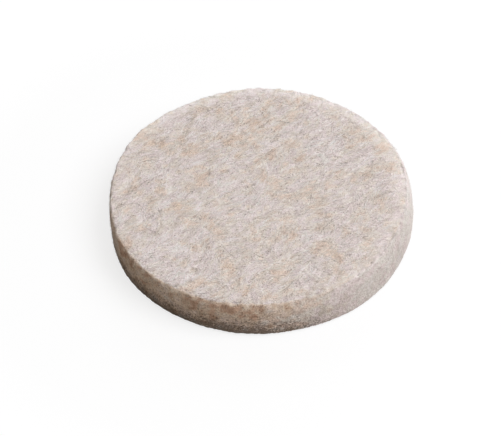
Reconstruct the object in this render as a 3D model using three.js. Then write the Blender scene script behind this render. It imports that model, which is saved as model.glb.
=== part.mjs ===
// A furniture glide: one round pad of thick pressed felt that goes under the leg of a
// chair or table, so that the leg slides without scratching the floor.
//
// The pad lies on its furniture side, in the plane Z = 0, with the face that slides on
// the floor upwards. The origin is the centre of the furniture side. Sizes are in
// millimetres.

import * as THREE from 'three';

// Driving dimensions
const diameter = 38;
const thickness = 5;

// The sliding face ends in a narrow rim, which turns down by this many degrees. A wider
// shoulder leads from there into the wall.
const rimRadius = 0.3;
const rimTurn = 74;
const shoulderRadius = 6;

// The edge of the furniture side is rounded by wear.
const footRadius = 0.6;

// The punched wall tapers: by the height of the sliding face it has come in by this much.
const taper = 0.29;

// The punch went in at a slight slant, so the middle of the sliding face lies this far
// from the axis, at this angle around the pad.
const punchDrift = 0.42;
const punchDriftTurn = 170;

// A punched felt disc springs back a little out of round. Each wave adds to the radius
// a given number of times around the pad.
const outOfRound = [
  { timesAround: 2, height: 0.12, turn: 91 },
  { timesAround: 3, height: 0.04, turn: 54 },
  { timesAround: 4, height: 0.03, turn: -169 },
  { timesAround: 5, height: 0.09, turn: 42 },
  { timesAround: 6, height: 0.07, turn: 135 },
  { timesAround: 7, height: 0.02, turn: -5 },
];

// Fineness of the faceted solid
const facetsAround = 120;
const stepsInRim = 3;
const stepsInShoulder = 3;
const stepsInFoot = 2;

const feltColor = '#cbbdb3';
const feltRoughness = 0.95;

// How far the outline stands out from a true circle at an angle around the pad.
function outlineOffset(angle) {
  let offset = 0;
  for (const wave of outOfRound) {
    offset += wave.height * Math.cos(wave.timesAround * angle - THREE.MathUtils.degToRad(wave.turn));
  }
  return offset;
}

// An arc from one angle to another, seen in the section where x is the distance from the
// axis and y is the height.
function arc(centreX, centreY, radius, fromAngle, toAngle, steps) {
  const points = [];
  for (let i = 0; i <= steps; i++) {
    const angle = fromAngle + ((toAngle - fromAngle) * i) / steps;
    points.push(new THREE.Vector2(centreX + radius * Math.cos(angle), centreY + radius * Math.sin(angle)));
  }
  return points;
}

// Half of the pad's section: along the furniture side, around the foot, up the wall, over
// the shoulder and the rim, and back to the axis along the sliding face. The rim and the
// shoulder meet where both slope alike, so the centre of one follows from the other.
function padSection() {
  const radius = diameter / 2;
  const meeting = Math.PI / 2 - THREE.MathUtils.degToRad(rimTurn);
  const rimX = radius - shoulderRadius + (shoulderRadius - rimRadius) * Math.cos(meeting);
  const rimY = thickness - rimRadius;
  const shoulderY = rimY - (shoulderRadius - rimRadius) * Math.sin(meeting);
  const shoulder = arc(radius - shoulderRadius, shoulderY, shoulderRadius, 0, meeting, stepsInShoulder);
  const rim = arc(rimX, rimY, rimRadius, meeting, Math.PI / 2, stepsInRim);
  return [
    new THREE.Vector2(0, 0),
    ...arc(radius - footRadius, footRadius, footRadius, -Math.PI / 2, 0, stepsInFoot),
    ...shoulder,
    ...rim.slice(1),
    new THREE.Vector2(0, thickness),
  ];
}

// The section turned around the axis, then moved in or out to the uneven outline. The
// offset grows with the distance from the axis, so both faces stay flat and the rims
// keep their form. The taper and the drift of the punch grow with the height.
function padGeometry() {
  const geometry = new THREE.LatheGeometry(padSection(), facetsAround);
  geometry.rotateX(Math.PI / 2);
  const position = geometry.attributes.position;
  const point = new THREE.Vector3();
  const driftX = punchDrift * Math.cos(THREE.MathUtils.degToRad(punchDriftTurn));
  const driftY = punchDrift * Math.sin(THREE.MathUtils.degToRad(punchDriftTurn));
  for (let i = 0; i < position.count; i++) {
    point.fromBufferAttribute(position, i);
    const rise = point.z / thickness;
    const offset = outlineOffset(Math.atan2(point.y, point.x)) - taper * rise;
    const scale = 1 + offset / (diameter / 2);
    position.setXYZ(i, point.x * scale + driftX * rise, point.y * scale + driftY * rise, point.z);
  }
  geometry.computeVertexNormals();
  return geometry;
}

function makeFeltPad() {
  const felt = new THREE.MeshStandardMaterial({
    color: feltColor,
    roughness: feltRoughness,
    metalness: 0,
  });
  const pad = new THREE.Mesh(padGeometry(), felt);
  pad.name = 'felt_pad';
  return pad;
}

const glide = new THREE.Group();
glide.add(makeFeltPad());

export default glide;
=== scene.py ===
"""Looks of a round pad of thick pressed felt that goes under the leg of a chair or table.

The felt is modelled as what it is: a block of matted wool with an uneven skin, and
thousands of single fibres that lie on it, over its rim and along its cut wall. Sizes are
in metres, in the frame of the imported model: the furniture side lies on the floor at
z = 0, and the sliding face looks up."""

import math

import bpy
import numpy as np
from mathutils import Matrix, Vector


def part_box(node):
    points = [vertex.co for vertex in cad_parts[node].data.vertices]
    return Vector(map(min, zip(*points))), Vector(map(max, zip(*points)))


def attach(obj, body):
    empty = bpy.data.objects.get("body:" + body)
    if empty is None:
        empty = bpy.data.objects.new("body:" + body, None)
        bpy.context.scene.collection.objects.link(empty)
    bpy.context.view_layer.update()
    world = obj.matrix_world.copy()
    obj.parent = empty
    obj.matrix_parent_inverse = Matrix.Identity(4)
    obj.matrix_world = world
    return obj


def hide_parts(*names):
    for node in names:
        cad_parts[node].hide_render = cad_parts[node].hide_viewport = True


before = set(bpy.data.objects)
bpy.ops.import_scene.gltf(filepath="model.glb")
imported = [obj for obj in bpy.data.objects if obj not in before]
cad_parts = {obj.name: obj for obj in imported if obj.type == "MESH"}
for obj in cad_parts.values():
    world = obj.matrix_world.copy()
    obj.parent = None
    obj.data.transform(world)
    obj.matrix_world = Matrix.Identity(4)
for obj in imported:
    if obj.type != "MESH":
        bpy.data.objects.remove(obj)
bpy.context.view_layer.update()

MM = 0.001

# The pad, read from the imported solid
PAD_NODE = "felt_pad"
PAD_LOW, PAD_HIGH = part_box(PAD_NODE)
THICKNESS = PAD_HIGH.z - PAD_LOW.z

# Section of the edge: a narrow rim that turns down by RIM_TURN, a wider shoulder that turns
# the rest of the way to the wall, and a rounded foot
RIM_RADIUS = 0.3 * MM
RIM_TURN = math.radians(74)
SHOULDER_RADIUS = 6.0 * MM
FOOT_RADIUS = 0.6 * MM

# How far the wall comes in by the height of the sliding face, and how far that face lies
# aside, because the punch went in at a slight slant
TAPER = 0.29 * MM
DRIFT = 0.42 * MM
DRIFT_WAY = math.radians(170)

# How far in from the wall the sliding face is flat, and how far down the wall begins
SHOULDER_INSET = SHOULDER_RADIUS * (1 - math.sin(RIM_TURN))
FLAT_INSET = SHOULDER_INSET + RIM_RADIUS * math.sin(RIM_TURN)
WALL_DEPTH = RIM_RADIUS * (1 - math.cos(RIM_TURN)) + SHOULDER_RADIUS * math.cos(RIM_TURN)

# Lengths along the section, from where the sliding face begins to bend down
RIM_LENGTH = RIM_RADIUS * RIM_TURN
SHOULDER_END = RIM_LENGTH + SHOULDER_RADIUS * (math.pi / 2 - RIM_TURN)
WALL_LENGTH = THICKNESS - WALL_DEPTH - FOOT_RADIUS
WALL_END = SHOULDER_END + WALL_LENGTH
SECTION_LENGTH = WALL_END + FOOT_RADIUS * math.pi / 2

# Mesh of the felt block: squares across each face, and rows down the wall
FACE_SQUARES = 180
WALL_ROWS = 40


# Outline and section

OUTLINE_WAVES = 10


def read_outline():
    """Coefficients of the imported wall's distance from its slanting axis, without the taper,
    as a sum of cosines and sines of whole multiples of the angle around the pad. They come
    from the vertices at both ends of the straight wall, by least squares."""
    vertices = bpy.data.objects[PAD_NODE].data.vertices
    points = np.empty(len(vertices) * 3)
    vertices.foreach_get("co", points)
    points = points.reshape(-1, 3)
    height = points[:, 2]
    slack = 0.01 * MM
    on_wall = (height > FOOT_RADIUS - slack) & (height < THICKNESS - WALL_DEPTH + slack)
    x, y, height = (points - drift(height))[on_wall].T
    reach = np.hypot(x, y) + TAPER * height / THICKNESS
    coefficients, *_ = np.linalg.lstsq(wave_table(np.arctan2(y, x)), reach, rcond=None)
    return coefficients


def drift(height):
    """How far the slanting punch has moved aside at a height, which is in proportion."""
    aside = DRIFT * height / THICKNESS
    level = np.zeros_like(height)
    return np.stack([aside * math.cos(DRIFT_WAY), aside * math.sin(DRIFT_WAY), level], axis=-1)


def wave_table(theta):
    """A column of ones, then the cosines and then the sines of 1, 2, 3 and so on times
    theta."""
    turns = np.multiply.outer(theta, np.arange(1, OUTLINE_WAVES + 1))
    ones = np.ones(turns.shape[:-1] + (1,))
    return np.concatenate([ones, np.cos(turns), np.sin(turns)], axis=-1)


OUTLINE = read_outline()
MEAN_RADIUS = float(OUTLINE[0])


def outline_radius(theta):
    """Distance of the wall from the axis at the angle theta."""
    return wave_table(theta) @ OUTLINE


def section_point(theta, along):
    """The plain surface of the pad, and its outward direction.

    theta is the angle around the axis. along is the length along the section: below zero
    on the sliding face, then the arcs of the rim and the shoulder, a straight wall, a
    quarter circle under the foot, and past SECTION_LENGTH the furniture side."""
    rim = np.clip(along, 0, RIM_LENGTH) / RIM_RADIUS
    past_rim = np.clip(along - RIM_LENGTH, 0, SHOULDER_END - RIM_LENGTH)
    shoulder = RIM_TURN + past_rim / SHOULDER_RADIUS
    down = np.clip(along - SHOULDER_END, 0, WALL_LENGTH)
    foot = np.clip(along - WALL_END, 0, SECTION_LENGTH - WALL_END) / FOOT_RADIUS
    on_face = np.minimum(along, 0)
    under = np.maximum(along - SECTION_LENGTH, 0)
    radius = (
        outline_radius(theta) - FLAT_INSET + on_face - under
        + RIM_RADIUS * np.sin(rim)
        + SHOULDER_RADIUS * (np.sin(shoulder) - math.sin(RIM_TURN))
        - FOOT_RADIUS * (1 - np.cos(foot))
    )
    height = (
        THICKNESS - down
        - RIM_RADIUS * (1 - np.cos(rim))
        - SHOULDER_RADIUS * (math.cos(RIM_TURN) - np.cos(shoulder))
        - FOOT_RADIUS * np.sin(foot)
    )
    turn = rim + shoulder - RIM_TURN + foot
    outward, upward = np.sin(turn), np.cos(turn)
    cosine, sine = np.cos(theta), np.sin(theta)
    radius = radius - TAPER * height / THICKNESS
    point = np.stack([radius * cosine, radius * sine, height], axis=-1)
    normal = np.stack([outward * cosine, outward * sine, upward], axis=-1)
    return point + drift(height), normal


def angle_and_inset(points):
    """Angle around the slanting axis, and distance inwards from the wall."""
    plan = points - drift(points[..., 2])
    theta = np.arctan2(plan[..., 1], plan[..., 0])
    wall = outline_radius(theta) - TAPER * plan[..., 2] / THICKNESS
    return theta, wall - np.hypot(plan[..., 0], plan[..., 1])


def along_sliding_face(x, y):
    """Angle and section length of a place given as a plan of the sliding face, which
    carries on over the rim and down the wall."""
    theta = np.arctan2(y, x)
    return theta, np.hypot(x, y) - (outline_radius(theta) - FLAT_INSET)


def along_furniture_side(x, y):
    """The same for a plan of the furniture side, which carries on up the wall."""
    theta = np.arctan2(y, x)
    return theta, SECTION_LENGTH + (outline_radius(theta) - FOOT_RADIUS) - np.hypot(x, y)


# Parts of the pad, as shares from 0 to 1

# Directions from the axis, in degrees from +X, of the side where the rim is pressed down,
# of the one with a highlight painted along its rim, of the one with painted shade and rust
# on its wall, and of the far wall
LEANT_AZIMUTH = 20
RIM_HIGHLIGHT_AZIMUTH = 75
SHADED_RUSTY_AZIMUTH = -121
FAR_AZIMUTH = 110

# How far in from the wall wool is evenly mixed, and how much of that is lost on the far wall
EVEN_REACH = 3.0 * MM
FAR_WALL_UNEVEN = 0.85


def side_share(points, azimuth, sharpness, offset):
    """A cosine of the angle from an azimuth, times sharpness and plus offset, which is cut
    off at 1 on that side of the pad and at 0 on the opposite one."""
    theta, _ = angle_and_inset(points)
    return np.clip(sharpness * np.cos(theta - math.radians(azimuth)) + offset, 0, 1)


def leant_side(points):
    """1 on the right-hand side, where the rim of the sliding face is pressed down."""
    return side_share(points, LEANT_AZIMUTH, sharpness=1.5, offset=-0.2)


def rim_highlight_side(points):
    """1 on the far side, where a highlight is painted along the rim."""
    return side_share(points, RIM_HIGHLIGHT_AZIMUTH, sharpness=1.2, offset=0.2)


def shaded_rusty_side(points):
    """1 at the front and left, where the wall has painted shade and rust, and 0 at the back
    and right.
    """
    return side_share(points, SHADED_RUSTY_AZIMUTH, sharpness=1.8, offset=-0.6)


def far_wall(points):
    """1 on the wall at the far side, and 0 on the faces and at the front."""
    return wall_share(points) * side_share(points, FAR_AZIMUTH, sharpness=1.3, offset=0.4)


def wall_share(points):
    """0 on the two faces and 1 on the wall and the shoulder, rising over the rim."""
    _, inset = angle_and_inset(points)
    return 1 - np.clip((inset - SHOULDER_INSET) / (FLAT_INSET - SHOULDER_INSET), 0, 1)


def near_rim(points, reach):
    """1 on the wall, falling to 0 at a distance of reach inwards from it."""
    _, inset = angle_and_inset(points)
    return np.clip(1 - inset / reach, 0, 1)


def near_top(points, reach):
    """1 at the height of the sliding face, falling to 0 at a depth of reach."""
    return np.clip(1 - (THICKNESS - points[..., 2]) / reach, 0, 1)


def evenness(points):
    """1 where the wool is evenly mixed, which is on the wall at the right. It falls to 0
    inwards over the faces and towards the side with painted shade, and nearly to 0 on the
    far wall."""
    away_from_shade = 1 - shaded_rusty_side(points)
    return near_rim(points, EVEN_REACH) * away_from_shade * (1 - FAR_WALL_UNEVEN * far_wall(points))


def between(first, second, share):
    """A value that goes from the first to the second as share goes from 0 to 1."""
    return first + (second - first) * share


# Unevenness of the skin

# Widths and heights of broad swells, tufts and small lumps
SWELL_WIDTH = 2.2 * MM
SWELL_HEIGHT = 0.04 * MM
WALL_SWELL_HEIGHT = 0.06 * MM
TUFT_WIDTH = 0.9 * MM
TUFT_HEIGHT = 0.022 * MM
RIM_TUFT_HEIGHT = 0.222 * MM
RIM_TUFT_REACH = 1.0 * MM
LUMP_WIDTH = 0.4 * MM
LUMP_HEIGHT = 0.014 * MM

# How much of all that is gone on the pressed furniture side, and how far the rim sags
PRESSED_FLAT = 0.7
RIM_SAG = 0.3 * MM
RIM_SAG_REACH = 3.0 * MM

# How far the skin is sunk below the plain surface, and how low it comes over the floor
SKIN_SUNK = 0.05 * MM
SKIN_LOWEST = 0.02 * MM

# Spreads the gradient noise over a range of mostly -1 to 1
NOISE_GAIN = 1.7


def gradient_noise(points, size, seed):
    """Smooth noise. Space is cut into cubes of one size. Each corner has a random
    direction, and the value is the distance along it, blended between the eight corners
    with a smooth step."""
    rng = np.random.default_rng(seed)
    order = rng.permutation(256)
    directions = rng.normal(size=(256, 3))
    directions /= np.linalg.norm(directions, axis=1, keepdims=True)
    place = points / size
    cube = np.floor(place).astype(int)
    part = place - cube
    blend = part ** 3 * (part * (part * 6 - 15) + 10)
    total = np.zeros(points.shape[:-1])
    for corner in np.ndindex(2, 2, 2):
        key = (cube + corner) & 255
        pick = order[(order[(order[key[..., 0]] + key[..., 1]) & 255] + key[..., 2]) & 255]
        distance = ((part - corner) * directions[pick]).sum(axis=-1)
        weight = np.where(np.array(corner) == 1, blend, 1 - blend).prod(axis=-1)
        total += weight * distance
    return NOISE_GAIN * total


def relief(points, normals):
    """How far the felt's skin stands out from the plain surface: broad swells, larger on
    the cut wall, tufts, larger on the rim, and small lumps. All of it is sunk a little, so
    that the fibres on it reach the plain surface. The furniture side is pressed nearly
    flat, and the sliding face sags towards its rim on the side that was leant on."""
    facing_up = np.clip(normals[..., 2], 0, 1)
    facing_down = np.clip(-normals[..., 2], 0, 1)
    on_rim = near_rim(points, RIM_TUFT_REACH) * near_top(points, RIM_TUFT_REACH)
    swell_height = between(SWELL_HEIGHT, WALL_SWELL_HEIGHT, wall_share(points))
    tuft_height = between(TUFT_HEIGHT, RIM_TUFT_HEIGHT, on_rim)
    swells = swell_height * gradient_noise(points, SWELL_WIDTH, seed=11)
    tufts = tuft_height * gradient_noise(points, TUFT_WIDTH, seed=12)
    lumps = LUMP_HEIGHT * gradient_noise(points, LUMP_WIDTH, seed=13)
    unevenness = (swells + tufts + lumps) * (1 - PRESSED_FLAT * facing_down)
    sag = RIM_SAG * leant_side(points) * near_rim(points, RIM_SAG_REACH) ** 2 * facing_up
    return unevenness - sag - SKIN_SUNK


# Colour of the wool, as two values from 0 to 1. Shade goes from brown to nearly white, and
# tone from dark and warm to light and a little cool.

# Mean shade, and the widths and strengths of its clouds, flecks and level layers
MEAN_SHADE = 0.60
WIDE_CLOUD_WIDTH = 6.0 * MM
WIDE_CLOUD_STRENGTH = 0.06
CLOUD_WIDTH = 1.9 * MM
CLOUD_STRENGTH = 0.17
FLECK_WIDTH = 0.8 * MM
FLECK_STRENGTH = 0.20
LAYER_HEIGHT = 0.5 * MM
LAYER_STRENGTH = 0.08
LAYER_STRETCH = 5

# How much paler the wall is than the faces, also at the far side, how much browner it is
# painted at the front and left, as warm shade, and the rusty clumps under the rim there
CLEAN_WALL_PALER = 0.20
FAR_WALL_PALER = 0.05
SHADED_WALL_BROWNER = 0.38
RUST_WIDTH = 0.6 * MM
RUST_DEPTH = 3.4 * MM
RUST_STRENGTH = 0.25
RUST_COVER = 0.65
RUST_PATCHINESS = 0.5

# Mean tone, its clouds, and its streaks along the nap, the way that most fibres on a face lie
MEAN_TONE = 0.66
TONE_CLOUD_WIDTH = 1.2 * MM
TONE_CLOUD_STRENGTH = 0.115
STREAK_WIDTH = 0.45 * MM
STREAK_STRENGTH = 0.15
STREAK_STRETCH = 0.3
NAP_WAY = math.radians(42)

# How much weaker all these clouds are on the wall, and how much weaker those of shade and
# those of tone are where the wool is evenly mixed
WALL_CLOUDS_LESS = 0.2
EVEN_SHADE_LESS = 0.3
EVEN_TONE_LESS = 0.4

# Painted shade on the wall at the front and left, from the floor up, with the power by which
# it fades, how much darker the rest of the wall is painted than the faces, how much lighter
# both walls are painted under the rim, and the highlight painted along the far rim
FOOT_SHADE_HEIGHT = 2.8 * MM
FOOT_SHADE_FADE = 1.1
FOOT_SHADE_DARKER = 0.85
WALL_PAINTED_DARKER = 0.165
UNDER_RIM_DEPTH = 2.4 * MM
UNSHADED_SIDE_RIM_LIGHT = 0.02
SHADED_SIDE_RIM_LIGHT = 0.15
RIM_HIGHLIGHT_REACH = 2.0 * MM
RIM_HIGHLIGHT_LIGHTER = 0.29

# How far the pores are closed, with less shade painted in them, where the wool is evenly
# mixed and on the far wall, and how much less and more the fibres differ in tone there
EVEN_PORES_CLOSED = 0.6
FAR_PORES_CLOSED = 0.25
EVEN_CONTRAST_LESS = 0.6
FAR_CONTRAST_MORE = 0.6


def combed(points):
    """Places in a frame where the nap's main way is shortened, so that noise laid out in
    it runs in streaks along the nap."""
    cosine, sine = math.cos(NAP_WAY), math.sin(NAP_WAY)
    along = points[..., 0] * cosine + points[..., 1] * sine
    across = points[..., 1] * cosine - points[..., 0] * sine
    return np.stack([along * STREAK_STRETCH, across, points[..., 2]], axis=-1)


def wool_shade(points):
    """The shade of the wool: clouds of three sizes, as in felt made of unsorted wool,
    weaker on the wall and where the wool is evenly mixed. The wall has faint level layers
    and is paler than the faces, and browner at the front and left, where warm shade is
    painted, with rust under the rim there."""
    wide = WIDE_CLOUD_STRENGTH * gradient_noise(points, WIDE_CLOUD_WIDTH, seed=21)
    clouds = CLOUD_STRENGTH * gradient_noise(points, CLOUD_WIDTH, seed=22)
    flecks = FLECK_STRENGTH * gradient_noise(points, FLECK_WIDTH, seed=23)
    wall = wall_share(points)
    weaker = WALL_CLOUDS_LESS * wall + EVEN_SHADE_LESS * evenness(points)
    mottling = (wide + clouds + flecks) * (1 - weaker)
    level = points / (LAYER_STRETCH, LAYER_STRETCH, 1)
    layers = LAYER_STRENGTH * gradient_noise(level, LAYER_HEIGHT, seed=27)
    paler = between(CLEAN_WALL_PALER, FAR_WALL_PALER, far_wall(points) ** 2)
    patches = RUST_PATCHINESS * gradient_noise(points, RUST_WIDTH, seed=111)
    clumps = np.clip(RUST_COVER + patches, 0, 1)
    rust = RUST_STRENGTH * near_top(points, RUST_DEPTH) * clumps
    # Painted warm shade, and real rusty clumps under the rim, on the front and left of the wall
    browner = shaded_rusty_side(points) * (SHADED_WALL_BROWNER + rust)
    return MEAN_SHADE + mottling + wall * (layers + paler - browner)


def wool_tone(points):
    """The tone of the wool: clouds of their own, apart from those of the shade, and streaks
    along the nap. Painted shade darkens the wall at the back and right against the faces,
    and the wall at the front and left from the floor up. Painted light makes the walls
    lighter under the rim, and a highlight is painted along the far rim."""
    clouds = TONE_CLOUD_STRENGTH * gradient_noise(points, TONE_CLOUD_WIDTH, seed=24)
    streaks = STREAK_STRENGTH * gradient_noise(combed(points), STREAK_WIDTH, seed=25)
    wall = wall_share(points)
    weaker = WALL_CLOUDS_LESS * wall + EVEN_TONE_LESS * evenness(points)
    mottling = (clouds + streaks) * (1 - weaker)
    shaded = shaded_rusty_side(points)
    # Painted shade: darker from the floor up at the front and left, and darker over the wall at
    # the back and right
    foot = np.clip(1 - points[..., 2] / FOOT_SHADE_HEIGHT, 0, 1) ** FOOT_SHADE_FADE
    painted_shade = FOOT_SHADE_DARKER * foot * shaded ** 2 + WALL_PAINTED_DARKER * (1 - shaded)
    # Painted light: the walls lighter just under the rim, most at the front and left
    lighter = between(UNSHADED_SIDE_RIM_LIGHT, SHADED_SIDE_RIM_LIGHT, shaded)
    painted_rim_light = lighter * near_top(points, UNDER_RIM_DEPTH)
    # Painted highlight along the far rim
    rim_highlight = RIM_HIGHLIGHT_LIGHTER * rim_highlight_side(points) * near_rim(points, RIM_HIGHLIGHT_REACH)
    return MEAN_TONE + mottling + rim_highlight + wall * (painted_rim_light - painted_shade)


def wool_openness(points):
    """How open the pores between the hairs are, which sets how much shade is painted in them:
    less where the wool is evenly mixed and on the far wall."""
    return 1 - EVEN_PORES_CLOSED * evenness(points) - FAR_PORES_CLOSED * far_wall(points) ** 2


def fibre_contrast(points):
    """How much the fibres differ in tone: less where the wool is evenly mixed, and more on
    the far wall."""
    return 1 - EVEN_CONTRAST_LESS * evenness(points) + FAR_CONTRAST_MORE * far_wall(points) ** 2


# Meshes

def mesh_piece(name, points, faces, uv, values=None):
    """A mesh object at the origin. faces is a table of three or four corners a row, uv
    has a place for each corner of each face, and values are named numbers per vertex."""
    mesh = bpy.data.meshes.new(name)
    corners = faces.shape[1]
    mesh.vertices.add(len(points))
    mesh.vertices.foreach_set("co", points.astype(np.float32).ravel())
    mesh.loops.add(faces.size)
    mesh.loops.foreach_set("vertex_index", faces.astype(np.int32).ravel())
    mesh.polygons.add(len(faces))
    mesh.polygons.foreach_set("loop_start", np.arange(0, faces.size, corners, dtype=np.int32))
    mesh.polygons.foreach_set("use_smooth", np.ones(len(faces), bool))
    mesh.uv_layers.new(name="OFBake").data.foreach_set("uv", uv.astype(np.float32).ravel())
    for key, value in (values or {}).items():
        attribute = mesh.attributes.new(key, "FLOAT", "POINT")
        attribute.data.foreach_set("value", value.astype(np.float32))
    mesh.update()
    mesh.validate()
    piece = bpy.data.objects.new(name, mesh)
    bpy.context.scene.collection.objects.link(piece)
    return piece


def grid_faces(index):
    """Squares between the neighbours of a grid of vertex numbers."""
    corners = [index[:-1, :-1], index[:-1, 1:], index[1:, 1:], index[1:, :-1]]
    return np.stack(corners, axis=-1).reshape(-1, 4)


def round_grid(squares):
    """A square grid from -1 to 1 bent into a unit disc: each square ring becomes a circle,
    and its corners keep to the diagonals."""
    line = np.linspace(-1, 1, squares + 1)
    a, b = np.meshgrid(line, line)
    wide = np.abs(a) >= np.abs(b)
    reach = np.where(wide, a, b)
    across = np.where(wide, b, a)
    safe = np.where(reach == 0, 1, reach)
    turn = across / safe * math.pi / 4
    x = np.where(wide, reach * np.cos(turn), reach * np.sin(turn))
    y = np.where(wide, reach * np.sin(turn), reach * np.cos(turn))
    return x, y


def grid_border(index):
    """The vertex numbers around the edge of a grid, counter-clockwise."""
    return np.concatenate([index[0, :-1], index[:-1, -1], index[-1, :0:-1], index[:0:-1, 0]])


# The bake map is 80 mm square: the two faces side by side, and the wall above them in
# four lengths.
MAP_SIZE = 80 * MM
FACE_SPOTS = ((20 * MM, 20 * MM), (60 * MM, 20 * MM))
STRIP_SPOTS = ((5 * MM, 44 * MM), (43 * MM, 44 * MM), (5 * MM, 54 * MM), (43 * MM, 54 * MM))


def wall_map(around):
    """Places on the map of the corners of the wall's squares, row by row from the sliding
    face. Each strip is a quarter of the way around, with the foot at its bottom."""
    column = np.arange(around)
    quarter = around // 4
    width = 2 * math.pi * MEAN_RADIUS / around
    left = (column % quarter) * width
    spot = np.array(STRIP_SPOTS)[column // quarter]
    height = np.linspace(SECTION_LENGTH, 0, WALL_ROWS + 1)
    places = np.empty((WALL_ROWS, around, 4, 2))
    for corner, (right, down) in enumerate(((0, 1), (1, 1), (1, 0), (0, 0))):
        places[:, :, corner, 0] = left + right * width + spot[:, 0]
        places[:, :, corner, 1] = height[down:WALL_ROWS + down, None] + spot[:, 1]
    return places.reshape(-1, 4, 2)


def make_felt_block():
    """The felt itself: a square grid bent round for each face and a band of rows for the
    wall, which share their border vertices, so that the skin is closed. Every vertex lies
    on the pad's section, moved in or out by the relief."""
    x, y = round_grid(FACE_SQUARES)
    theta = np.arctan2(y, x).ravel()
    reach = np.hypot(x, y).ravel()
    top_along = (reach - 1) * (outline_radius(theta) - FLAT_INSET)
    under_along = SECTION_LENGTH + (1 - reach) * (outline_radius(theta) - FOOT_RADIUS)
    top_index = np.arange(x.size).reshape(x.shape)
    border = grid_border(top_index)
    rows = np.linspace(0, SECTION_LENGTH, WALL_ROWS + 1)[1:-1]
    wall_theta, wall_along = np.broadcast_arrays(theta[border], rows[:, None])
    all_theta = np.concatenate([theta, theta, wall_theta.ravel()])
    all_along = np.concatenate([top_along, under_along, wall_along.ravel()])
    plain, normals = section_point(all_theta, all_along)
    points = plain + normals * relief(plain, normals)[:, None]
    points[:, 2] = np.maximum(points[:, 2], SKIN_LOWEST)

    wall_index = 2 * x.size + np.arange(wall_theta.size).reshape(wall_theta.shape)
    band = np.concatenate([border[None], wall_index, (border + x.size)[None]])
    band = np.concatenate([band, band[:, :1]], axis=1)
    top_faces = grid_faces(top_index)
    under_faces = grid_faces(top_index + x.size)[:, ::-1]
    wall_faces = grid_faces(band)[:, ::-1]
    faces = np.concatenate([top_faces, under_faces, wall_faces])

    flat = np.stack([x.ravel(), y.ravel()], axis=-1) * MEAN_RADIUS
    top_uv = flat[top_faces] + FACE_SPOTS[0]
    under_uv = (flat * (-1, 1))[under_faces - x.size] + FACE_SPOTS[1]
    uv = np.concatenate([top_uv, under_uv, wall_map(len(border))]) / MAP_SIZE
    values = {
        "wool_shade": wool_shade(plain),
        "wool_tone": wool_tone(plain),
        "wool_openness": wool_openness(plain),
    }
    return mesh_piece("felt_block", points, faces, uv, values)


# Fibres

FIBRE_SIDES = 3

# How deep a fibre's ends are sunk in the felt, and the area of an end, as a share of the
# fibre's full cross-section
END_SUNK = 0.03 * MM
END_AREA = 0.02

# A fibre's bake map is one cell of a card of shades across and tones up
SHADES = 48
TONES = 16
CELL_FILL = 0.8

# How much single fibres differ from the wool around them, and the share of white hairs and
# of dark burrs among them
SHADE_SCATTER = 0.015
TONE_SCATTER = 0.15
WHITE_HAIR_SHARE = 0.08
WHITE_HAIR_LIGHTER = 0.4
BURR_SHARE = 0.02
BURR_DARKER = 0.35

# How far fibres turn from the nap or from level, the share of them that lies any way, and
# how the nap itself wanders over a face
HEADING_SPREAD = math.radians(22)
STRAY_SHARE = 0.2
NAP_WANDER = math.radians(35)
NAP_CLOUD_WIDTH = 5 * MM

# How strong the slow wave on a fibre's bend is, as a share of that bend
WAVE_SHARE = 0.35


def curl(rng, count, steps, place_x, place_y, heading, length, bend):
    """Plan curves of fibres, in equal steps. Each passes its place at or near its middle,
    and its heading turns at a steady rate of its own with a slow wave on it. bend is the
    usual turn from end to end, in radians."""
    t = np.linspace(-0.5, 0.5, steps + 1)
    rate = rng.normal(0, bend, (count, 1))
    wave = rng.normal(0, WAVE_SHARE * bend, (count, 1))
    phase = rng.uniform(0, 2 * math.pi, (count, 1))
    angle = heading[:, None] + rate * t + wave * np.sin(2 * math.pi * t + phase)
    step = (length / steps)[:, None]
    x = np.cumsum(np.cos(angle) * step, axis=1)
    y = np.cumsum(np.sin(angle) * step, axis=1)
    middle = steps // 2
    x += place_x[:, None] - x[:, middle:middle + 1]
    y += place_y[:, None] - y[:, middle:middle + 1]
    return x, y


def tube_rings(centre, normals, thick):
    """Rings of FIBRE_SIDES corners around each centre line. The width is a half ellipse
    along the line, so a fibre runs out almost to a point at both ends."""
    tangent = np.gradient(centre, axis=1)
    tangent /= np.linalg.norm(tangent, axis=-1, keepdims=True)
    side = np.cross(tangent, normals)
    side /= np.linalg.norm(side, axis=-1, keepdims=True)
    up = np.cross(side, tangent)
    t = np.linspace(0, 1, centre.shape[1])
    radius = thick[:, None] / 2 * np.sqrt(np.clip(1 - (2 * t - 1) ** 2, END_AREA, 1))
    spin = math.pi / 2 + 2 * math.pi / FIBRE_SIDES * np.arange(FIBRE_SIDES)
    ring = up[:, :, None] * np.sin(spin)[:, None] + side[:, :, None] * np.cos(spin)[:, None]
    return centre[:, :, None] + ring * radius[..., None, None]


def closed_tube(index):
    """Triangles of a three-sided tube, from a grid of vertex numbers with a ring in each
    row: two for each square between the rings, and one across each end. The last column
    stands for the first once more, so that the rings close."""
    squares = grid_faces(index)[:, ::-1]
    ends = np.array([index[0, :FIBRE_SIDES], index[-1, FIBRE_SIDES - 1::-1]])
    return np.concatenate([squares[:, [0, 1, 2]], squares[:, [0, 2, 3]], ends])


def fibre_faces(count, stations):
    """The triangles of count tubes with as many rings as stations."""
    index = np.arange(stations * FIBRE_SIDES).reshape(stations, FIBRE_SIDES)
    pattern = closed_tube(np.concatenate([index, index[:, :1]], axis=1))
    return (np.arange(count)[:, None, None] * index.size + pattern).reshape(-1, 3)


def fibre_card(stations):
    """Places of the corners of one tube's triangles in its cell, from the cell's middle."""
    across = (np.arange(FIBRE_SIDES + 1) / FIBRE_SIDES - 0.5) * CELL_FILL
    up = (np.linspace(0, 1, stations) - 0.5) * CELL_FILL
    x, y = np.meshgrid(across, up)
    corners = closed_tube(np.arange(x.size).reshape(x.shape))
    return np.stack([x.ravel()[corners], y.ravel()[corners]], axis=-1)


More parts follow.
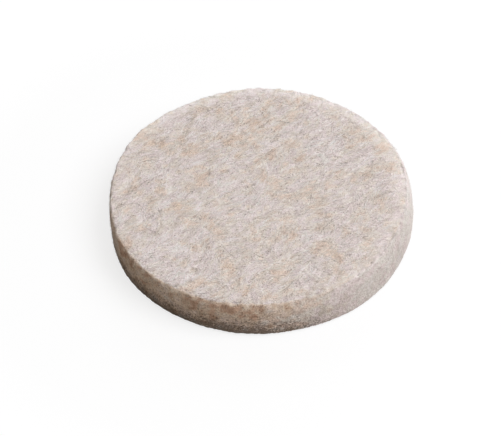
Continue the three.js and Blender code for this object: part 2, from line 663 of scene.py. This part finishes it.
def fibre_cells(rng, places):
    """The middle of each fibre's cell on the card: the shade and tone of the wool at its
    place, with some scatter, and a white hair or a dark burr here and there."""
    count = len(places)
    shade = wool_shade(places) + rng.normal(0, SHADE_SCATTER, count)
    draw = rng.random(count)
    odd = WHITE_HAIR_LIGHTER * (draw > 1 - WHITE_HAIR_SHARE) - BURR_DARKER * (draw < BURR_SHARE)
    scatter = (rng.normal(0, TONE_SCATTER, count) + odd) * fibre_contrast(places)
    tone = wool_tone(places) + scatter
    column = np.clip(np.floor(shade * SHADES), 0, SHADES - 1)
    row = np.clip(np.floor(tone * TONES), 0, TONES - 1)
    return np.stack([column, row], axis=-1) + 0.5


def fibre_piece(name, rng, theta, along, thick, rise, loose=False):
    """One mesh of closed three-sided tubes. A tube's centre line follows the felt's skin
    and stands off it by rise times a half sine, with both ends sunk in the felt, or, for
    a loose fibre, by rise times the way along it, with one end free."""
    count, stations = theta.shape
    plain, normals = section_point(theta, along)
    t = np.linspace(0, 1, stations)
    bow = t if loose else np.sin(math.pi * t)
    lift = rise[:, None] * bow - END_SUNK * (1 - bow)
    centre = plain + normals * (relief(plain, normals) + lift)[..., None]
    points = tube_rings(centre, normals, thick)
    points[..., 2] = np.maximum(points[..., 2], 0)
    cells = fibre_cells(rng, plain[:, stations // 2])
    uv = (cells[:, None, None] + fibre_card(stations)) / (SHADES, TONES)
    return mesh_piece(name, points.reshape(-1, 3), fibre_faces(count, stations), uv.reshape(-1, 2))


def nap_direction(x, y):
    """The way the nap runs over a face: one main slant that wanders by clouds."""
    place = np.stack([x, y, np.zeros_like(x)], axis=-1)
    return NAP_WAY + NAP_WANDER * gradient_noise(place, NAP_CLOUD_WIDTH, seed=31)


def strewn(rng, heading):
    """Turns each fibre from its heading by a small spread, and a few of them any way."""
    count = len(heading)
    near = heading + rng.normal(0, HEADING_SPREAD, count)
    return np.where(rng.random(count) < STRAY_SHARE, rng.uniform(0, math.pi, count), near)


def random_in_disc(rng, count, radius):
    """Places spread evenly over a disc."""
    reach = radius * np.sqrt(rng.random(count))
    turn = rng.uniform(0, 2 * math.pi, count)
    return reach * np.cos(turn), reach * np.sin(turn)


def make_face_fibres(name, seed, count, place, reach, length, thick, rise):
    """Fibres on a plan of one face. Their places are within reach of the axis, so that the
    outer ones go over the edge."""
    rng = np.random.default_rng(seed)
    x, y = random_in_disc(rng, count, reach)
    heading = strewn(rng, nap_direction(x, y))
    lengths = rng.uniform(*length, count)
    theta, along = place(*curl(rng, count, 4, x, y, heading, lengths, bend=0.5))
    return fibre_piece(
        name, rng, theta, along,
        rng.uniform(*thick, count), rng.uniform(*rise, count),
    )


def make_wall_fibres(name, seed, count, length, thick, rise):
    """Fibres on the wall, short because the punch cut them. Most lie nearly level, because
    felt is built up in layers."""
    rng = np.random.default_rng(seed)
    around = rng.uniform(0, 2 * math.pi * MEAN_RADIUS, count)
    down = rng.uniform(RIM_LENGTH, SECTION_LENGTH, count)
    heading = strewn(rng, np.zeros(count))
    lengths = rng.uniform(*length, count)
    across, along = curl(rng, count, 3, around, down, heading, lengths, bend=0.7)
    return fibre_piece(
        name, rng, across / MEAN_RADIUS, np.clip(along, 0, SECTION_LENGTH),
        rng.uniform(*thick, count), rng.uniform(*rise, count),
    )


def make_rim_fuzz(name, seed, count, length, thick, rise):
    """Loose hair ends that stand out from the skin, from a little inside the sliding
    face's rim down to just above the foot."""
    rng = np.random.default_rng(seed)
    around = rng.uniform(0, 2 * math.pi * MEAN_RADIUS, count)
    down = rng.uniform(-0.5 * MM, 0.8 * SECTION_LENGTH, count)
    heading = rng.uniform(-math.pi, math.pi, count)
    lengths = rng.uniform(*length, count)
    across, along = curl(rng, count, 2, around, down, heading, lengths, bend=0.6)
    return fibre_piece(
        name, rng, across / MEAN_RADIUS, np.minimum(along, SECTION_LENGTH),
        rng.uniform(*thick, count), rng.uniform(*rise, count), loose=True,
    )


# Materials

# Noise scales are in waves to the metre. The grain moves the shade of the felt between the
# fibres about a mean that is a little browner than theirs.
GRAIN_SCALE = 2600
GRAIN_STRENGTH = 0.2
GRAIN_OFFSET = -0.15

# Shade is painted in the pores: it darkens the tone by PORE_DARKER where their noise is at
# PORE_DEEP and not at all where it is at PORE_CLOSED
PORE_SCALE = 5200
PORE_DARKER = 0.45
PORE_DEEP = 0.35
PORE_CLOSED = 0.6
PORE_BUMP = 0.06 * MM


def add_nodes(tree, **kinds):
    """Adds shader nodes under short names."""
    return {name: tree.nodes.new(kind) for name, kind in kinds.items()}


def colour_mix(node, blend):
    """Sets a Mix node to colours and returns its colour sockets by name. They are taken by
    their place, because the sockets for numbers have the same names."""
    node.data_type = "RGBA"
    node.blend_type = blend
    sockets = node.inputs
    return {"Factor": sockets[0], "A": sockets[6], "B": sockets[7], "Result": node.outputs[2]}


def set_stops(node, stops):
    """Gives a colour ramp its places and colours."""
    ramp = node.color_ramp
    while len(ramp.elements) < len(stops):
        ramp.elements.new(0.5)
    for element, (position, colour) in zip(ramp.elements, stops):
        element.position = position
        element.color = (*colour, 1)


def wool_colour_group():
    """Turns a shade and a tone into the colour of the wool."""
    group = bpy.data.node_groups.new("wool_colour", "ShaderNodeTree")
    face = group.interface
    face.new_socket("Shade", in_out="INPUT", socket_type="NodeSocketFloat")
    face.new_socket("Tone", in_out="INPUT", socket_type="NodeSocketFloat")
    face.new_socket("Color", in_out="OUTPUT", socket_type="NodeSocketColor")
    nodes = add_nodes(
        group, inputs="NodeGroupInput", output="NodeGroupOutput",
        shades="ShaderNodeValToRGB", tones="ShaderNodeValToRGB", dye="ShaderNodeMix",
    )
    set_stops(nodes["shades"], (
        (0.00, (0.450, 0.290, 0.210)),
        (0.15, (0.660, 0.465, 0.355)),
        (0.30, (0.805, 0.692, 0.580)),
        (0.42, (0.862, 0.740, 0.672)),
        (0.54, (0.844, 0.816, 0.768)),
        (0.66, (0.888, 0.814, 0.838)),
        (0.80, (0.868, 0.868, 0.842)),
        (1.00, (0.930, 0.880, 0.960)),
    ))
    set_stops(nodes["tones"], (
        (0.00, (0.245, 0.215, 0.190)),
        (0.35, (0.684, 0.618, 0.580)),
        (0.60, (0.940, 0.894, 0.853)),
        (0.88, (1.028, 1.010, 0.977)),
        (1.00, (1.045, 1.110, 1.100)),
    ))
    dye = colour_mix(nodes["dye"], "MULTIPLY")
    dye["Factor"].default_value = 1
    link = group.links.new
    link(nodes["inputs"].outputs["Shade"], nodes["shades"].inputs["Fac"])
    link(nodes["inputs"].outputs["Tone"], nodes["tones"].inputs["Fac"])
    link(nodes["shades"].outputs["Color"], dye["A"])
    link(nodes["tones"].outputs["Color"], dye["B"])
    link(dye["Result"], nodes["output"].inputs["Color"])
    return group


def felt_shader(material):
    """The shader that both the felt and its fibres end in: matt, with the soft sheen of
    loose wool ends."""
    material.use_nodes = True
    shader = material.node_tree.nodes["Principled BSDF"]
    shader.inputs["Roughness"].default_value = 0.95
    shader.inputs["Specular IOR Level"].default_value = 0.15
    shader.inputs["Sheen Weight"].default_value = 0.15
    shader.inputs["Sheen Roughness"].default_value = 0.6
    return shader


def felt_material(wool_colour):
    """Matted wool between the fibres. Its shade is that of the mesh plus a fine grain, and
    its tone that of the mesh, darker in the pores by painted shade. The pores are a bump too."""
    material = bpy.data.materials.new("pressed_felt")
    shader = felt_shader(material)
    tree = material.node_tree
    nodes = add_nodes(
        tree, place="ShaderNodeTexCoord", grain="ShaderNodeTexNoise", pores="ShaderNodeTexNoise",
        mesh_shade="ShaderNodeAttribute", grained="ShaderNodeMath", shade="ShaderNodeMath",
        mesh_tone="ShaderNodeAttribute", openness="ShaderNodeAttribute",
        pore="ShaderNodeMapRange", opened="ShaderNodeMath", tone="ShaderNodeMath",
        colour="ShaderNodeGroup", bump="ShaderNodeBump",
    )
    nodes["mesh_shade"].attribute_name = "wool_shade"
    nodes["mesh_tone"].attribute_name = "wool_tone"
    nodes["openness"].attribute_name = "wool_openness"
    nodes["grain"].inputs["Scale"].default_value = GRAIN_SCALE
    nodes["grain"].inputs["Detail"].default_value = 3
    nodes["pores"].inputs["Scale"].default_value = PORE_SCALE
    nodes["pores"].inputs["Detail"].default_value = 2
    nodes["grained"].operation = "MULTIPLY_ADD"
    nodes["grained"].inputs[1].default_value = GRAIN_STRENGTH
    nodes["grained"].inputs[2].default_value = GRAIN_OFFSET
    nodes["shade"].operation = "ADD"
    # Painted shade in the pores between the hairs
    nodes["pore"].inputs["From Min"].default_value = PORE_DEEP
    nodes["pore"].inputs["From Max"].default_value = PORE_CLOSED
    nodes["pore"].inputs["To Min"].default_value = -PORE_DARKER
    nodes["pore"].inputs["To Max"].default_value = 0
    nodes["pore"].clamp = False
    nodes["opened"].operation = "MULTIPLY"
    nodes["tone"].operation = "ADD"
    nodes["colour"].node_tree = wool_colour
    nodes["bump"].inputs["Distance"].default_value = PORE_BUMP
    nodes["bump"].inputs["Strength"].default_value = 0.8
    link = tree.links.new
    link(nodes["place"].outputs["Object"], nodes["grain"].inputs["Vector"])
    link(nodes["place"].outputs["Object"], nodes["pores"].inputs["Vector"])
    link(nodes["grain"].outputs["Fac"], nodes["grained"].inputs[0])
    link(nodes["mesh_shade"].outputs["Fac"], nodes["shade"].inputs[0])
    link(nodes["grained"].outputs["Value"], nodes["shade"].inputs[1])
    link(nodes["pores"].outputs["Fac"], nodes["pore"].inputs["Value"])
    link(nodes["pore"].outputs["Result"], nodes["opened"].inputs[0])
    link(nodes["openness"].outputs["Fac"], nodes["opened"].inputs[1])
    link(nodes["opened"].outputs["Value"], nodes["tone"].inputs[0])
    link(nodes["mesh_tone"].outputs["Fac"], nodes["tone"].inputs[1])
    link(nodes["shade"].outputs["Value"], nodes["colour"].inputs["Shade"])
    link(nodes["tone"].outputs["Value"], nodes["colour"].inputs["Tone"])
    link(nodes["colour"].outputs["Color"], shader.inputs["Base Color"])
    link(nodes["pores"].outputs["Fac"], nodes["bump"].inputs["Height"])
    link(nodes["bump"].outputs["Normal"], shader.inputs["Normal"])
    return material


def fibre_material(wool_colour):
    """Single hairs. The card of shades and tones in their own map gives the colour."""
    material = bpy.data.materials.new("wool_fibre")
    shader = felt_shader(material)
    tree = material.node_tree
    nodes = add_nodes(
        tree, card="ShaderNodeUVMap", parts="ShaderNodeSeparateXYZ", colour="ShaderNodeGroup",
    )
    nodes["card"].uv_map = "OFBake"
    nodes["colour"].node_tree = wool_colour
    link = tree.links.new
    link(nodes["card"].outputs["UV"], nodes["parts"].inputs["Vector"])
    link(nodes["parts"].outputs["X"], nodes["colour"].inputs["Shade"])
    link(nodes["parts"].outputs["Y"], nodes["colour"].inputs["Tone"])
    link(nodes["colour"].outputs["Color"], shader.inputs["Base Color"])
    return material


# Room

WHITE = (1, 1, 1, 1)

# The camera looks at the pad's middle, but for how far its aim lies left of and below it
CAMERA_DISTANCE = 200 * MM
CAMERA_ELEVATION = math.radians(46.97)
CAMERA_ROLL = math.radians(-2)
FIELD_OF_VIEW = math.radians(17.72)
AIM_LEFT = 1.48 * MM
AIM_BELOW = 1.75 * MM

# Shares of plain light on the sliding face: a lamp at the right, one behind, and the sky
KEY_SHARE = 0.76
KEY_ELEVATION = math.radians(52)
KEY_AZIMUTH = math.radians(-18)
BACK_SHARE = 0.12
BACK_ELEVATION = math.radians(22)
BACK_AZIMUTH = math.radians(80)
LAMP_COLOUR = (0.975, 1.0, 1.04)
LAMP_SIZE = 450 * MM
LAMP_DISTANCE = 600 * MM
SKY_SHARE = 0.20
SKY_COLOUR = (1.0, 0.89, 0.77, 1)

# The floor's own colour, which lights the pad, and the colour that is seen of it, with a
# glow that grows with the distance from the pad
FLOOR_COLOUR = (0.50, 0.465, 0.42, 1)
FLOOR_SEEN_COLOUR = (0.24, 0.24, 0.24, 1)
FLOOR_GLOW = 0.78
FLOOR_NEAR = 35 * MM
FLOOR_FAR = 150 * MM
FLOOR_REACH = 2000 * MM


def make_camera():
    """A camera at the photograph's angle, a little turned about its own axis."""
    centre = Vector((0, 0, THICKNESS / 2))
    back = Vector((0, -math.cos(CAMERA_ELEVATION), math.sin(CAMERA_ELEVATION)))
    right = Vector((1, 0, 0))
    up = back.cross(right)
    place = centre + back * CAMERA_DISTANCE
    aim = centre - right * AIM_LEFT - up * AIM_BELOW
    look = (aim - place).to_track_quat("-Z", "Y").to_matrix()
    turn = Matrix.Rotation(CAMERA_ROLL, 3, "Z")
    data = bpy.data.cameras.new("camera")
    data.angle = FIELD_OF_VIEW
    data.clip_start = 10 * MM
    camera = bpy.data.objects.new("camera", data)
    camera.matrix_world = Matrix.Translation(place) @ (look @ turn).to_4x4()
    bpy.context.scene.collection.objects.link(camera)
    bpy.context.scene.camera = camera


def make_lamp(name, share, azimuth, elevation):
    """One soft square lamp. Its power gives the sliding face its share of plain light:
    share times pi squared times distance squared over the sine of its height."""
    direction = Vector((
        math.cos(azimuth) * math.cos(elevation),
        math.sin(azimuth) * math.cos(elevation),
        math.sin(elevation),
    ))
    data = bpy.data.lights.new(name, "AREA")
    data.size = LAMP_SIZE
    data.color = LAMP_COLOUR
    data.energy = share * math.pi ** 2 * LAMP_DISTANCE ** 2 / math.sin(elevation)
    lamp = bpy.data.objects.new(name, data)
    lamp.location = direction * LAMP_DISTANCE
    lamp.rotation_euler = (-direction).to_track_quat("-Z", "Y").to_euler()
    bpy.context.scene.collection.objects.link(lamp)


def seen_rays(tree):
    """1 for rays that a viewer sees: from the camera, mirrored or through glass."""
    nodes = add_nodes(
        tree, path="ShaderNodeLightPath", first="ShaderNodeMath", second="ShaderNodeMath",
    )
    for name in ("first", "second"):
        nodes[name].operation = "MAXIMUM"
    tree.links.new(nodes["path"].outputs["Is Camera Ray"], nodes["first"].inputs[0])
    tree.links.new(nodes["path"].outputs["Is Glossy Ray"], nodes["first"].inputs[1])
    tree.links.new(nodes["first"].outputs["Value"], nodes["second"].inputs[0])
    tree.links.new(nodes["path"].outputs["Is Transmission Ray"], nodes["second"].inputs[1])
    return nodes["second"].outputs["Value"]


def make_world():
    """Even sky light on the object, and white where the sky itself is seen."""
    world = bpy.data.worlds.new("studio")
    bpy.context.scene.world = world
    world.use_nodes = True
    tree = world.node_tree
    background = tree.nodes["Background"]
    seen = seen_rays(tree)
    nodes = add_nodes(tree, colour="ShaderNodeMix", strength="ShaderNodeMapRange")
    colour = colour_mix(nodes["colour"], "MIX")
    colour["A"].default_value = SKY_COLOUR
    colour["B"].default_value = WHITE
    nodes["strength"].inputs["To Min"].default_value = SKY_SHARE
    nodes["strength"].inputs["To Max"].default_value = 1
    tree.links.new(seen, colour["Factor"])
    tree.links.new(colour["Result"], background.inputs["Color"])
    tree.links.new(seen, nodes["strength"].inputs["Value"])
    tree.links.new(nodes["strength"].outputs["Result"], background.inputs["Strength"])


def make_floor():
    """A plain pale floor. What is seen of it is raised to white outside the shadow, by a
    glow that grows from FLOOR_GLOW near the pad to 1 far from it."""
    corners = FLOOR_REACH * np.array([[-1, -1, 0], [1, -1, 0], [1, 1, 0], [-1, 1, 0]])
    floor = mesh_piece("floor", corners, np.array([[0, 1, 2, 3]]), corners[:, :2])
    material = bpy.data.materials.new("pale_floor")
    material.use_nodes = True
    tree = material.node_tree
    shader = tree.nodes["Principled BSDF"]
    shader.inputs["Roughness"].default_value = 1
    shader.inputs["Specular IOR Level"].default_value = 0
    shader.inputs["Emission Color"].default_value = WHITE
    seen = seen_rays(tree)
    nodes = add_nodes(
        tree, colour="ShaderNodeMix", glow="ShaderNodeMath",
        place="ShaderNodeTexCoord", away="ShaderNodeVectorMath", fade="ShaderNodeMapRange",
    )
    colour = colour_mix(nodes["colour"], "MIX")
    colour["A"].default_value = FLOOR_COLOUR
    colour["B"].default_value = FLOOR_SEEN_COLOUR
    nodes["away"].operation = "LENGTH"
    nodes["fade"].inputs["From Min"].default_value = FLOOR_NEAR
    nodes["fade"].inputs["From Max"].default_value = FLOOR_FAR
    nodes["fade"].inputs["To Min"].default_value = FLOOR_GLOW
    nodes["fade"].inputs["To Max"].default_value = 1
    nodes["glow"].operation = "MULTIPLY"
    tree.links.new(seen, colour["Factor"])
    tree.links.new(colour["Result"], shader.inputs["Base Color"])
    tree.links.new(nodes["place"].outputs["Object"], nodes["away"].inputs[0])
    tree.links.new(nodes["away"].outputs["Value"], nodes["fade"].inputs["Value"])
    tree.links.new(nodes["fade"].outputs["Result"], nodes["glow"].inputs[1])
    tree.links.new(seen, nodes["glow"].inputs[0])
    tree.links.new(nodes["glow"].outputs["Value"], shader.inputs["Emission Strength"])
    floor.data.materials.append(material)


# The pad, put together

def dress(piece, material):
    """Gives a piece its material and slot, and lets it ride with the pad."""
    piece.data.materials.append(material)
    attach(piece, "root")


wool_colour = wool_colour_group()
felt = felt_material(wool_colour)
fibre = fibre_material(wool_colour)

block = make_felt_block()
dress(block, felt)
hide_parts(PAD_NODE)

for number in range(3):
    dress(make_face_fibres(
        f"sliding_face_fibres_{number + 1}", seed=41 + number, count=6000,
        place=along_sliding_face, reach=MEAN_RADIUS - 0.3 * MM,
        length=(0.8 * MM, 4.0 * MM), thick=(0.025 * MM, 0.06 * MM), rise=(0, 0.04 * MM),
    ), fibre)

dress(make_wall_fibres(
    "wall_fibres", seed=51, count=8000,
    length=(0.2 * MM, 0.9 * MM), thick=(0.03 * MM, 0.06 * MM), rise=(0, 0.04 * MM),
), fibre)
dress(make_rim_fuzz(
    "rim_fuzz", seed=71, count=4000,
    length=(0.2 * MM, 0.7 * MM), thick=(0.015 * MM, 0.03 * MM), rise=(0.05 * MM, 0.28 * MM),
), fibre)
dress(make_face_fibres(
    "furniture_side_fibres", seed=61, count=3000,
    place=along_furniture_side, reach=MEAN_RADIUS - 0.5 * MM,
    length=(1.0 * MM, 3.8 * MM), thick=(0.04 * MM, 0.085 * MM), rise=(0, 0.03 * MM),
), fibre)

make_camera()
make_lamp("key_lamp", KEY_SHARE, KEY_AZIMUTH, KEY_ELEVATION)
make_lamp("back_lamp", BACK_SHARE, BACK_AZIMUTH, BACK_ELEVATION)
make_world()
make_floor()
bpy.context.scene.view_settings.view_transform = "Standard"
